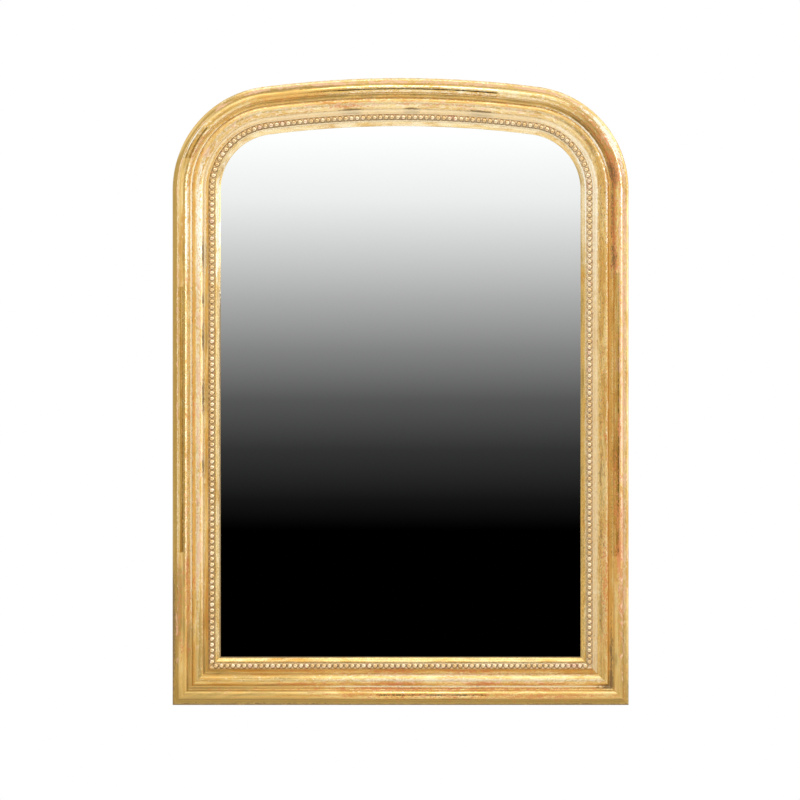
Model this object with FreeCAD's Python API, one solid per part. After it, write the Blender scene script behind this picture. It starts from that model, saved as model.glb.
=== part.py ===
import FreeCAD, Part
import math
import os

# An arched gilt wall mirror: a pine carcass with gilded mouldings planted on its face, a silvered
# plate held in the rebate by glue blocks, nailed backboards and a swinging ring on each stile.
# Millimetres. The wall is the plane y = 0, the face looks along -Y and +Z is up. The origin is the
# middle of the back. A section is drawn as inset from the outer edge and height off the carcass back.

V = FreeCAD.Vector

# Outline from the front
frame_width = 800.0
frame_height = 1100.0
corner_radius = 182.0
crown_radius = 1900.0

# Thicknesses from the wall forwards
board_thickness = 8.0
carcass_thickness = 20.0
glass_thickness = 4.0

# Gilded strips, from the outer edge inwards; heights are above the carcass face
outer_moulding_width = 34.0
outer_moulding_height = 22.0
inner_moulding_width = 29.0
inner_moulding_height = 15.5
bead_diameter = 9.6
bead_gap = 0.45
bead_margin = 0.7
bead_floor = 0.8
slip_height = 6.4
slip_seat = 3.0
glass_clearance = 1.0
sight_lap = 6.0
glue_line = 0.1

# Sections as shares of a strip's own width and height. A row of one point is a straight run to
# it, a row of two points is an arc through the first to the second.
outer_moulding_shares = [
    ((0, 0),),
    ((0, 0.368),),
    ((0.047, 0.545), (0.162, 0.618)),
    ((0.274, 0.618),),
    ((0.529, 1), (0.785, 0.618)),
    ((0.800, 0.590),),
    ((0.856, 0.565), (0.912, 0.586)),
    ((0.918, 0.655),),
    ((0.976, 0.655),),
    ((1, 0.620),),
    ((1, 0),),
]
inner_moulding_shares = [
    ((0, 0),),
    ((0, 0.581),),
    ((0.031, 0.581),),
    ((0.090, 0.823), (0.293, 1)),
    ((0.604, 0.759), (0.700, 0.490)),
    ((0.717, 0.297),),
    ((0.745, 0.297),),
    ((0.883, 0.400), (0.976, 0.619)),
    ((1, 0.619),),
    ((1, 0),),
]
slip_shares = [
    ((0, 0),),
    ((0, 1),),
    ((0.22, 1),),
    ((0.25, 0.84),),
    ((0.64, 0.61), (1, 0.31)),
    ((1, 0),),
]
rectangle_shares = [((0, 0),), ((0, 1),), ((1, 1),), ((1, 0),)]
block_shares = [((0, 0),), ((1, 1),), ((0, 1),)]

# Glue blocks behind the plate
block_leg_share = 0.75
block_length = 45.0
stile_block_shares = [0.18, 0.5, 0.82]
rail_block_shares = [-0.45, 0.45]
crown_block_shares = [-0.5, 0.5]

# Backboards and their nails
board_count = 5
board_gap = 1.0
board_lap = 30.0
nail_diameter = 2.0
nail_grip_share = 0.7
nail_point = 3.0
nail_head_diameter = 5.0
nail_head_thickness = 0.8
nail_fit = 0.1
nail_margin = 30.0
rail_nail_shares = [-0.6, -0.2, 0.2, 0.6]
crown_nail_shares = [-0.75, -0.25, 0.25, 0.75]
corner_nail_share = 0.5

# Butterfly keys let into the back across each joint of the carcass, in the margin outside the boards
key_length_share = 0.85
key_end_share = 0.34
key_waist_share = 0.19
key_depth_share = 0.4
key_fit = 0.1

# Strap hangers, their swinging rings and screws, all within the recess that the boards leave
hanger_drop = 300.0
wall_gap = 0.9
strap_width = 12.0
strap_thickness = 1.5
strap_tail = 9.0
strap_end_share = 0.45
ring_fit = 0.3
ring_side_gap = 2.0
ring_corner_radius = 4.0
ring_side_length = 6.0
screw_count = 2
screw_diameter = 4.0
screw_grip_share = 0.7
screw_point = 4.0
screw_head_diameter = 7.0
screw_head_height = 2.0
screw_head_shares = (0.72, 0.68)
screw_slot_width = 0.9
screw_slot_depth = 1.0
screw_fit = 0.1
screw_gap = 2.75
screw_pitch = 16.0

# Tools reach this far past what they cut, and two points this close are one
overrun = 5.0
tolerance = 0.01

quarter_turn = 90.0
full_turn = 360.0
x_axis = V(1, 0, 0)
y_axis = V(0, 1, 0)
z_axis = V(0, 0, 1)

# Worked out from the above
half_width = frame_width / 2
half_height = frame_height / 2
back_plane = -board_thickness
face_plane = back_plane - carcass_thickness
crown_centre = V(0, 0, half_height - crown_radius)
corner_reach = half_width - corner_radius
shoulder_angle = math.degrees(math.asin(corner_reach / (crown_radius - corner_radius)))
springing = crown_centre.z + (crown_radius - corner_radius) * math.cos(math.radians(shoulder_angle))
corner_centre = V(-corner_reach, 0, springing)
stile_length = springing + half_height

bead_radius = bead_diameter / 2
bead_pitch = bead_diameter + bead_gap
bead_bed_height = bead_radius + bead_floor
bead_strip_width = bead_diameter + 2 * bead_margin
bead_strip_inset = outer_moulding_width + inner_moulding_width
bead_line = bead_strip_inset + bead_strip_width / 2
slip_inset = bead_strip_inset + bead_strip_width
slip_width = slip_seat + glass_clearance + sight_lap
carcass_width = slip_inset + slip_seat
glass_inset = carcass_width + glass_clearance
sight_inset = slip_inset + slip_width
board_inset = carcass_width - board_lap
nail_line = carcass_width - board_lap / 2
nail_length = board_thickness + carcass_thickness * nail_grip_share
block_leg = (carcass_thickness - glass_thickness) * block_leg_share
key_depth = carcass_thickness * key_depth_share

hanger_line = board_inset / 2
eye_radius = (board_thickness - wall_gap) / 2
eye_bore = eye_radius - strap_thickness
ring_wire = 2 * (eye_bore - ring_fit)
ring_half_bar = strap_width / 2 + ring_side_gap
ring_half_width = ring_half_bar + ring_corner_radius
ring_drop = ring_corner_radius + ring_side_length + ring_half_width + ring_wire / 2
screw_drop = ring_drop + screw_gap + screw_head_diameter / 2
screw_length = carcass_thickness * screw_grip_share
strap_length = screw_drop + screw_pitch * (screw_count - 1) + strap_tail
pivot = V(hanger_line - half_width, back_plane + eye_radius, half_height - hanger_drop)


def outward(shape):
    # The one solid of a shape, turned the right way out
    solid = shape.Solids[0]
    if solid.Volume < 0:
        solid = solid.reversed()
    return solid


def mirrored(shape):
    return shape.mirror(V(0, 0, 0), x_axis)


def trace(rows, place):
    # One flat face; place turns a row's pair of sizes into a point
    start = place(*rows[0][0])
    here = start
    edges = []
    for row in rows[1:]:
        stops = [place(*point) for point in row]
        if len(stops) == 1:
            edges.append(Part.makeLine(here, stops[0]))
        else:
            edges.append(Part.Arc(here, stops[0], stops[1]).toShape())
        here = stops[-1]
    edges.append(Part.makeLine(here, start))
    return Part.Face(Part.Wire(edges))


def sized(rows, inset, width, foot, height):
    return [tuple((inset + u * width, foot + w * height) for u, w in row) for row in rows]


def region(corners):
    # A prism through the whole depth over an outline in the plane of the frame
    points = [V(x, overrun, z) for x, z in corners]
    depth = board_thickness + carcass_thickness + outer_moulding_height + 2 * overrun
    return Part.Face(Part.makePolygon(points + points[:1])).extrude(V(0, -depth, 0))


def member_regions():
    reach = sight_inset + overrun
    outer = (-half_width - overrun, -half_height - overrun)
    inner = (-half_width + reach, -half_height + reach)
    stile = region([outer, inner, (inner[0], springing), (outer[0], springing)])
    rail = region([outer, inner, (-inner[0], inner[1]), (-outer[0], outer[1])])
    return stile, rail


stile_region, rail_region = member_regions()


def run_round(rows):
    # One section carried round the frame in six lengths, mitred at the two bottom corners
    stile = trace(rows, lambda u, w: V(u - half_width, back_plane - w, -half_height))
    stile = outward(stile.extrude(V(0, 0, stile_length)).common(stile_region))
    rail = trace(rows, lambda u, w: V(-half_width, back_plane - w, u - half_height))
    rail = outward(rail.extrude(V(frame_width, 0, 0)).common(rail_region))
    corner = trace(rows, lambda u, w: V(u - half_width, back_plane - w, springing))
    corner = outward(corner.revolve(corner_centre, y_axis, quarter_turn - shoulder_angle))
    crown = trace(rows, lambda u, w: V(0, back_plane - w, half_height - u))
    crown.rotate(crown_centre, y_axis, -shoulder_angle)
    crown = outward(crown.revolve(crown_centre, y_axis, 2 * shoulder_angle))
    return {
        "left": stile,
        "right": mirrored(stile),
        "bottom": rail,
        "top_left": corner,
        "top_right": mirrored(corner),
        "crown": crown,
    }


def on_corner(inset, turn):
    # A point of the left corner, turned from its springing
    point = V(-(corner_radius - inset), 0, 0)
    return corner_centre + FreeCAD.Rotation(y_axis, turn).multVec(point)


def on_crown(inset, turn):
    # A point of the crown, turned from the middle towards the right
    point = V(0, 0, crown_radius - inset)
    return crown_centre + FreeCAD.Rotation(y_axis, turn).multVec(point)


def arch(inset, foot):
    # The frame's outline at an inset, from a level foot upwards, as a face at the wall
    side = half_width - inset
    shoulder = quarter_turn - shoulder_angle
    left = [V(-side, 0, foot), V(-side, 0, springing)]
    edges = [Part.makeLine(left[0], left[1])]
    turns = [on_corner(inset, shoulder * share) for share in (0, 0.5, 1)]
    edges.append(Part.Arc(*turns).toShape())
    turns = [on_crown(inset, shoulder_angle * share) for share in (-1, 0, 1)]
    edges.append(Part.Arc(*turns).toShape())
    edges.append(mirrored(edges[1]))
    edges.append(mirrored(edges[0]))
    edges.append(Part.makeLine(V(side, 0, foot), left[0]))
    return Part.Face(Part.Wire(Part.__sortEdges__(edges)))


def spaced(length, lead_in, lead_out):
    # Places at about the bead pitch between two leads, as distances from the start
    span = length - lead_in - lead_out
    steps = max(round(span / bead_pitch), 1)
    return [lead_in + span * step / steps for step in range(steps + 1)]


def bead_places():
    # Bead centres of each length; the leads at a mitre keep the pitch across it
    level = face_plane - bead_bed_height
    mitre_lead = bead_pitch / math.sqrt(2)
    butt_lead = bead_pitch / 2
    side = half_width - bead_line
    foot = bead_line - half_height
    stile = [V(-side, level, foot + s) for s in spaced(springing - foot, mitre_lead, butt_lead)]
    rail = [V(s - side, level, foot) for s in spaced(2 * side, mitre_lead, mitre_lead)]

    def turned(point_at, radius, start, sweep):
        length = radius * math.radians(sweep)
        points = []
        for s in spaced(length, butt_lead, butt_lead):
            point = point_at(bead_line, start + sweep * s / length)
            points.append(V(point.x, level, point.z))
        return points

    corner = turned(on_corner, corner_radius - bead_line, 0, quarter_turn - shoulder_angle)
    crown = turned(on_crown, crown_radius - bead_line, -shoulder_angle, 2 * shoulder_angle)
    return {"left": stile, "bottom": rail, "top_left": corner, "crown": crown}


def bead_strips():
    # Cast beads on a flat bed, each length one casting
    width = bead_strip_width - glue_line
    beds = planted(rectangle_shares, bead_strip_inset, width, bead_bed_height)
    strips = {}
    for name, places in bead_places().items():
        beads = [Part.makeSphere(bead_radius, place) for place in places]
        strips[name] = outward(beds[name].multiFuse(beads))
    strips["right"] = mirrored(strips["left"])
    strips["top_right"] = mirrored(strips["top_left"])
    return strips


def planted(rows, inset, width, height):
    # A strip glued to the carcass face
    return run_round(sized(rows, inset, width, carcass_thickness, height))


def mirror_plate():
    foot = glass_inset - half_height
    plate = arch(glass_inset, foot).extrude(V(0, -glass_thickness, 0))
    plate.translate(V(0, face_plane + glass_thickness, 0))
    return outward(plate)


def glass_blocks():
    # Three-cornered blocks rubbed into the angle between the carcass and the plate
    top = carcass_thickness - glass_thickness
    inset = carcass_width + glue_line
    rows = sized(block_shares, inset, block_leg, top - block_leg, block_leg)
    side = []
    for share in stile_block_shares:
        middle = stile_length * share - half_height
        face = trace(rows, lambda u, w: V(u - half_width, back_plane - w, middle - block_length / 2))
        side.append(outward(face.extrude(V(0, 0, block_length))))
    foot = []
    for share in rail_block_shares:
        middle = half_width * share
        face = trace(rows, lambda u, w: V(middle - block_length / 2, back_plane - w, u - half_height))
        foot.append(outward(face.extrude(V(block_length, 0, 0))))
    crown = []
    sweep = math.degrees(block_length / (crown_radius - inset))
    for share in crown_block_shares:
        face = trace(rows, lambda u, w: V(0, back_plane - w, half_height - u))
        face.rotate(crown_centre, y_axis, shoulder_angle * share - sweep / 2)
        crown.append(outward(face.revolve(crown_centre, y_axis, sweep)))
    return {
        "left": Part.makeCompound(side),
        "right": mirrored(Part.makeCompound(side)),
        "bottom": Part.makeCompound(foot),
        "crown": Part.makeCompound(crown),
    }


def board_levels():
    # Lower edge and height of each board, from the bottom up
    low = board_inset - half_height
    high = half_height - board_inset
    height = (high - low - board_gap * (board_count - 1)) / board_count
    return [low + (height + board_gap) * number for number in range(board_count)], height


def backboards():
    side = half_width - board_inset
    lows, height = board_levels()
    boards = []
    for low in lows[:-1]:
        boards.append(Part.makeBox(2 * side, board_thickness, height, V(-side, back_plane, low)))
    top = arch(board_inset, lows[-1]).extrude(V(0, -board_thickness, 0))
    boards.append(outward(top))
    return boards


def nail_places():
    # Two nails in each board end, then along the bottom rail, the corners and the crown
    side = half_width - nail_line
    lows, height = board_levels()
    places = []
    for low in lows:
        levels = [low + nail_margin]
        if low != lows[-1]:
            levels.append(low + height - nail_margin)
        for level in levels:
            places.append(V(-side, 0, level))
            places.append(V(side, 0, level))
    for share in rail_nail_shares:
        places.append(V(side * share, 0, nail_line - half_height))
    corner = on_corner(nail_line, (quarter_turn - shoulder_angle) * corner_nail_share)
    places.append(corner)
    places.append(V(-corner.x, 0, corner.z))
    for share in crown_nail_shares:
        places.append(on_crown(nail_line, shoulder_angle * share))
    return places


def turned_pin(rows, place):
    # A pin turned about its own axis, driven forwards from a place on the back
    face = trace(rows, lambda r, depth: place + V(r, -depth, 0))
    return outward(face.revolve(place, y_axis, full_turn))


def nail(place):
    head = nail_head_diameter / 2
    shank = nail_diameter / 2
    rows = [
        ((0, 0),),
        ((head, 0),),
        ((head, nail_head_thickness),),
        ((shank, nail_head_thickness),),
        ((shank, nail_length - nail_point),),
        ((0, nail_length),),
    ]
    return turned_pin(rows, place)


def nail_hole(place):
    shank = Part.makeCylinder(nail_diameter / 2 + nail_fit, nail_length + nail_fit, place, -y_axis)
    seat = Part.makeCylinder(nail_head_diameter / 2 + nail_fit, nail_head_thickness, place, -y_axis)
    return shank.fuse(seat)


def key_outline(fit):
    end = board_inset * key_length_share / 2 + fit
    wide = board_inset * key_end_share / 2 + fit
    waist = board_inset * key_waist_share / 2 + fit
    points = [(-end, -wide), (0, -waist), (end, -wide), (end, wide), (0, waist), (-end, wide)]
    return [V(x, 0, z) for x, z in points]


def key_at(place, turn, fit):
    # A butterfly key let in flush with the carcass back; fit widens it into its own pocket
    points = key_outline(fit)
    solid = Part.Face(Part.makePolygon(points + points[:1])).extrude(V(0, -key_depth, 0))
    solid.rotate(V(0, 0, 0), y_axis, turn)
    solid.translate(V(place.x, back_plane, place.z))
    return outward(solid)


def key_places():
    # Place and turn of each left-hand key: the mitre, the shoulder and the crown joint
    mitre = V(hanger_line - half_width, 0, hanger_line - half_height)
    shoulder = V(hanger_line - half_width, 0, springing)
    crown = on_crown(hanger_line, -shoulder_angle)
    return {
        "bottom": (mitre, quarter_turn / 2),
        "shoulder": (shoulder, quarter_turn),
        "crown": (crown, -shoulder_angle),
    }


def hanger_strap():
    # A strip rolled over at its upper end into an eye, with its lower corners rounded
    middle = V(pivot.x - strap_width / 2, pivot.y, pivot.z)
    inner = back_plane + strap_thickness
    meet = math.sqrt(eye_radius ** 2 - eye_bore ** 2)
    foot = pivot.z - strap_length
    rows = [
        ((back_plane, foot),),
        ((back_plane, pivot.z),),
        ((pivot.y + eye_radius, pivot.z), (inner, pivot.z - meet)),
        ((inner, foot),),
    ]
    face = trace(rows, lambda y, z: V(middle.x, y, z))
    bore = Part.makeCylinder(eye_bore, strap_width, middle, x_axis)
    strap = outward(face.extrude(V(strap_width, 0, 0)).cut(bore))
    ends = []
    for line in strap.Edges:
        level = all(abs(point.Z - foot) < tolerance for point in line.Vertexes)
        through = abs(line.Vertexes[0].X - line.Vertexes[-1].X) < tolerance
        if level and through:
            ends.append(line)
    return outward(strap.makeFillet(strap_width * strap_end_share, ends))


def screw_places():
    drops = [screw_drop + screw_pitch * number for number in range(screw_count)]
    return [V(pivot.x, 0, pivot.z - drop) for drop in drops]


def screw_bore(place):
    # Clears the shank through the strap and into the stile
    start = V(place.x, back_plane + strap_thickness, place.z)
    length = strap_thickness + screw_length + screw_fit
    return Part.makeCylinder(screw_diameter / 2 + screw_fit, length, start, -y_axis)


def screw(place):
    # A round-headed slotted wood screw, its head seated on the strap
    head = screw_head_diameter / 2
    shank = screw_diameter / 2
    tip = strap_thickness + screw_length
    swell, crest = screw_head_shares
    rows = [
        ((0, -screw_head_height),),
        ((head * swell, -screw_head_height * crest), (head, 0)),
        ((shank, 0),),
        ((shank, tip - screw_point),),
        ((0, tip),),
    ]
    seat = V(place.x, back_plane + strap_thickness, place.z)
    body = turned_pin(rows, seat)
    slot = Part.makeBox(screw_head_diameter, screw_slot_depth + overrun, screw_slot_width)
    slot.translate(seat + V(-head, screw_head_height - screw_slot_depth, -screw_slot_width / 2))
    return outward(body.cut(slot))


def hanging_ring():
    # A D of round wire hanging from its straight bar, which turns in the eye
    wire = ring_wire / 2
    corner_z = pivot.z - ring_corner_radius
    side_z = corner_z - ring_side_length

    def disc(place, direction):
        return Part.Face(Part.Wire(Part.makeCircle(wire, place, direction)))

    bar_end = V(pivot.x - ring_half_bar, pivot.y, pivot.z)
    bar = disc(bar_end, x_axis).extrude(V(2 * ring_half_bar, 0, 0))
    pieces = [bar]
    for sign in (-1, 1):
        end = V(pivot.x + sign * ring_half_bar, pivot.y, pivot.z)
        centre = V(end.x, pivot.y, corner_z)
        pieces.append(disc(end, x_axis).revolve(centre, y_axis, sign * quarter_turn))
        side = V(pivot.x + sign * ring_half_width, pivot.y, corner_z)
        pieces.append(disc(side, z_axis).extrude(V(0, 0, -ring_side_length)))
    loop = disc(V(pivot.x + ring_half_width, pivot.y, side_z), z_axis)
    pieces.append(loop.revolve(V(pivot.x, pivot.y, side_z), y_axis, 2 * quarter_turn))
    pieces = [outward(piece) for piece in pieces]
    return outward(pieces[0].multiFuse(pieces[1:]).removeSplitter())


def carcass():
    # The pine members, with pockets for the keys and holes for the nails and screws
    members = run_round(sized(rectangle_shares, 0, carcass_width, 0, carcass_thickness))
    tools = [nail_hole(place) for place in nail_places()]
    pockets = [key_at(place, turn, key_fit) for place, turn in key_places().values()]
    bores = [screw_bore(place) for place in screw_places()]
    for tool in pockets + bores:
        tools.append(tool)
        tools.append(mirrored(tool))
    names = {
        "left": "left_stile",
        "right": "right_stile",
        "bottom": "bottom_rail",
        "top_left": "top_left_corner",
        "top_right": "top_right_corner",
        "crown": "crown_rail",
    }
    return {names[name]: outward(member.cut(tools)) for name, member in members.items()}


def build():
    nodes = carcass()
    outer_width = outer_moulding_width - glue_line
    inner_width = inner_moulding_width - glue_line
    strips = {
        "outer_moulding": planted(outer_moulding_shares, 0, outer_width, outer_moulding_height),
        "inner_moulding": planted(
            inner_moulding_shares, outer_moulding_width, inner_width, inner_moulding_height
        ),
        "bead_strip": bead_strips(),
        "sight_slip": planted(slip_shares, slip_inset, slip_width, slip_height),
    }
    for strip, lengths in strips.items():
        for name, shape in lengths.items():
            nodes[strip + "_" + name] = shape
    nodes["mirror_plate"] = mirror_plate()
    for name, shape in glass_blocks().items():
        nodes["glass_blocks_" + name] = shape

    holes = [nail_hole(place) for place in nail_places()]
    for number, board in enumerate(backboards(), start=1):
        nodes["backboard_" + str(number)] = outward(board.cut(holes))
    nodes["backboard_nails"] = Part.makeCompound([nail(place) for place in nail_places()])

    for name, (place, turn) in key_places().items():
        key = key_at(place, turn, 0)
        nodes["key_" + name + "_left"] = key
        nodes["key_" + name + "_right"] = mirrored(key)

    bores = [screw_bore(place) for place in screw_places()]
    hardware = {
        "hanger_strap": outward(hanger_strap().cut(bores)),
        "hanging_ring": hanging_ring(),
        "hanger_screws": Part.makeCompound([screw(place) for place in screw_places()]),
    }
    for name, shape in hardware.items():
        nodes[name + "_left"] = shape
        nodes[name + "_right"] = mirrored(shape)
    return nodes


os.makedirs("parts", exist_ok=True)
for name, shape in build().items():
    if not shape.isValid():
        raise ValueError(name + " is not a valid shape")
    shape.exportStep("parts/" + name + ".step")
    print(name, len(shape.Solids), round(shape.Volume / 1000, 2))
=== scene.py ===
import functools
import math
import random

import bmesh
import bpy
from mathutils import Matrix, Vector


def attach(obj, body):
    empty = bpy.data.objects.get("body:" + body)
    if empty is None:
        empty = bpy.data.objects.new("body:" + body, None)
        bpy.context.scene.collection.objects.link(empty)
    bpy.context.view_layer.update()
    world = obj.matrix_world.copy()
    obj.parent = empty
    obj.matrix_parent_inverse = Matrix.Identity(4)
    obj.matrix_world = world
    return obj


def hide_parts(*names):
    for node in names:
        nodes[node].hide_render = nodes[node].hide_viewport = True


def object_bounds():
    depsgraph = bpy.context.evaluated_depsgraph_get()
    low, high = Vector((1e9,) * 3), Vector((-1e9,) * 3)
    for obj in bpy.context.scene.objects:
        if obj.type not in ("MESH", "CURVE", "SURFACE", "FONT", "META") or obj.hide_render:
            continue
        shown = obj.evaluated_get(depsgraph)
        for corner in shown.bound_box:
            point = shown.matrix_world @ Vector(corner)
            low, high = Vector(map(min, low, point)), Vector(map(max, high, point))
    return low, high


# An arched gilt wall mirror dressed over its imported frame: gilded mouldings, a bead border and a
# sight slip swept round the arch, a silvered plate, old pine behind, brass and iron hardware.

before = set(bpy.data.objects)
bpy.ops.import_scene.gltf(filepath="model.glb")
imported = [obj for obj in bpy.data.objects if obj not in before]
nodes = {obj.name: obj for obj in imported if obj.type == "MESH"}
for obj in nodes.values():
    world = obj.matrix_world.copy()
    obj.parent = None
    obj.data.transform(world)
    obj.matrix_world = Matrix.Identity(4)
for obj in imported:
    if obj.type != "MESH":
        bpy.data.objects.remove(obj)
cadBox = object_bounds()
print("frame loaded,", len(nodes), "nodes")

mm = 0.001


def linearColour(hexValue):  # an sRGB hex value as Blender's linear colour
    parts = [int(hexValue[i:i + 2], 16) / 255 for i in (1, 3, 5)]
    return [c / 12.92 if c <= 0.04045 else ((c + 0.055) / 1.055) ** 2.4 for c in parts] + [1]


def addNode(tree, kind, inputs=None, stops=None, **settings):
    # One node with its settings, its input values or links, and the stops of its ramp
    node = tree.nodes.new("ShaderNode" + kind)
    for name, value in settings.items():
        setattr(node, name, value)
    for socket, value in (inputs or {}).items():
        if socket in ("From", "To"):  # the two ends of a range
            node.inputs[socket + " Min"].default_value = value[0]
            node.inputs[socket + " Max"].default_value = value[1]
            continue
        if isinstance(value, bpy.types.Node):
            value = next(output for output in value.outputs if output.enabled)
        if isinstance(value, bpy.types.NodeSocket):
            tree.links.new(value, node.inputs[socket])
        else:
            node.inputs[socket].default_value = linearColour(value) if isinstance(value, str) else value
    for number, (place, value) in enumerate(stops or []):
        marks = node.color_ramp.elements
        mark = marks[number] if number < 2 else marks.new(place)
        mark.position = place
        mark.color = linearColour(value) if isinstance(value, str) else (value, value, value, 1)
    return node


def setShader(owner, output, finish, *details):
    # Gives a material or the world the shader that a finish builds from the nodes it adds
    owner.use_nodes = True
    owner.node_tree.nodes.clear()
    add = functools.partial(addNode, owner.node_tree)
    add(output, {"Surface": finish(add, *details)})
    return owner


def makeMaterial(name, finish, *details):
    return setShader(bpy.data.materials.new(name), "OutputMaterial", finish, *details)


def paint(nodeNames, material):  # a CAD node keeps its shape and takes a better finish
    for name in nodeNames:
        slots = nodes[name].material_slots
        if not slots:
            nodes[name].data.materials.append(material)
        for slot in slots:
            slot.material = material


def takeMesh(bm, name):
    mesh = bpy.data.meshes.new(name)
    bm.to_mesh(mesh)
    bm.free()
    return mesh


def addObject(name, data):
    thing = bpy.data.objects.new(name, data)
    bpy.context.scene.collection.objects.link(thing)
    return thing


# Outline of the frame, seen from the front
outline = {
    "cornerRadius": 182 * mm,
    "crownRadius": 1900 * mm,
    "facePlane": -28 * mm,  # front of the pine carcass, which carries the gilded strips
    "patternLine": 42 * mm,  # inset along which the run round the frame is measured
}
cornerRadius = outline["cornerRadius"]
crownRadius = outline["crownRadius"]
facePlane = outline["facePlane"]
halfWidth = cadBox[1].x
halfHeight = cadBox[1].z
cornerReach = halfWidth - cornerRadius
crownFoot = halfHeight - crownRadius
shoulderReach = crownRadius - cornerRadius
shoulderAngle = math.asin(cornerReach / shoulderReach)
cornerAngle = math.pi / 2 - shoulderAngle
springing = crownFoot + shoulderReach * math.cos(shoulderAngle)
stileLength = springing + halfHeight

# How far along the run each length starts, clockwise from the bottom left mitre
cornerRun = cornerAngle * (cornerRadius - outline["patternLine"])
crownRun = 2 * shoulderAngle * (crownRadius - outline["patternLine"])
runLengths = {
    "left": stileLength, "top_left": cornerRun, "crown": crownRun, "top_right": cornerRun,
    "right": stileLength, "bottom": 2 * halfWidth,
}
lengths = list(runLengths)
runStart = {}
passed = 0
for length, run in runLengths.items():
    runStart[length] = passed
    passed += run


def runPlace(length, point):
    # Distance along the run and inset from the outer edge of a point, for patterns
    start = runStart[length]
    if length == "left":
        return start + point.z + halfHeight, halfWidth + point.x
    if length == "right":
        return start + springing - point.z, halfWidth - point.x
    if length == "bottom":
        return start + halfWidth - point.x, halfHeight + point.z
    if length == "crown":
        turn = math.atan2(point.x, point.z - crownFoot) + shoulderAngle
        reach = math.hypot(point.x, point.z - crownFoot)
        return start + crownRun * turn / (2 * shoulderAngle), crownRadius - reach
    turn = math.atan2(point.z - springing, abs(point.x) - cornerReach)
    reach = math.hypot(point.z - springing, abs(point.x) - cornerReach)
    share = turn / cornerAngle
    if length == "top_right":
        share = 1 - share
    return start + cornerRun * share, cornerRadius - reach


sweep = {
    "arcStep": math.radians(9),  # in a section's rounds
    "stepLength": 20 * mm,  # along the straights and the crown
    "cornerSteps": 36,
    "overrun": 4 * mm,  # past a mitre before it is cut
    "softening": 0.25 * mm,  # gesso rounds every edge by about this much
    "softestFace": 0.9 * mm,  # narrower faces keep their edges
    "sharpAngle": math.radians(24),
    "smoothAngle": math.radians(30),  # a sharper edge stays sharp in the shading
    "merge": 0.001 * mm,  # points this near are one
    "touch": 0.01 * mm,  # and this near a plane are on it
}


def arcThrough(first, middle, last):
    # Centre, axis and angle of the arc from the first point through the middle one to the last
    toMiddle = middle - first
    toLast = last - first
    axis = toMiddle.cross(toLast)
    offset = axis.cross(toMiddle) * toLast.length_squared + toLast.cross(axis) * toMiddle.length_squared
    centre = first + offset / (2 * axis.length_squared)
    return centre, axis.normalized(), (first - centre).angle(last - centre)


def drawSection(bm, rows, toPoint):
    # A strip's section as one face: a row of one point is a straight run, of two an arc
    first = bm.verts.new(toPoint(*rows[0][0]))
    pen = first
    for row in rows[1:]:
        stop = toPoint(*row[-1])
        if len(row) == 1:
            corner = bm.verts.new(stop)
            bm.edges.new((pen, corner))
            pen = corner
        else:
            centre, axis, angle = arcThrough(pen.co.copy(), toPoint(*row[0]), stop)
            turned = bmesh.ops.spin(
                bm, geom=[pen], cent=centre, axis=axis, angle=angle, dvec=(0, 0, 0),
                steps=math.ceil(angle / sweep["arcStep"]), use_duplicate=False,
            )
            pen = next(item for item in turned["geom_last"] if isinstance(item, bmesh.types.BMVert))
    bm.edges.new((pen, first))
    face = bmesh.ops.contextual_create(bm, geom=bm.edges[:])["faces"][0]
    corners = []
    for loop in face.loops:
        sharp = abs(math.pi - loop.calc_angle()) > sweep["sharpAngle"]
        room = min(loop.edge.calc_length(), loop.link_loop_prev.edge.calc_length())
        onCarcass = abs(loop.vert.co.y - facePlane) < sweep["touch"]
        if sharp and room > sweep["softestFace"] and not onCarcass:
            corners.append(loop.vert)
    bmesh.ops.bevel(
        bm, geom=corners, offset=sweep["softening"], offset_type="OFFSET", affect="VERTICES",
        segments=2, profile=0.5, material=-1, clamp_overlap=True,
    )
    return bm.faces[:][0]


def cutMitre(bm, side, keepSide):
    # Cuts the bottom mitre at 45 degrees and closes the cut; keepSide is 1 on a stile, -1 on the rail
    corner = Vector((side * halfWidth, 0, -halfHeight))
    away = Vector((-side, 0, -1)) * keepSide
    cut = bmesh.ops.bisect_plane(
        bm, geom=[*bm.verts, *bm.edges, *bm.faces], dist=sweep["touch"], plane_co=corner,
        plane_no=away, clear_outer=True,
    )
    rim = [item for item in cut["geom_cut"] if isinstance(item, bmesh.types.BMEdge)]
    bmesh.ops.contextual_create(bm, geom=rim)


def closeUp(bm):
    bmesh.ops.remove_doubles(bm, verts=bm.verts[:], dist=sweep["merge"])
    bmesh.ops.recalc_face_normals(bm, faces=bm.faces[:])


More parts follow.
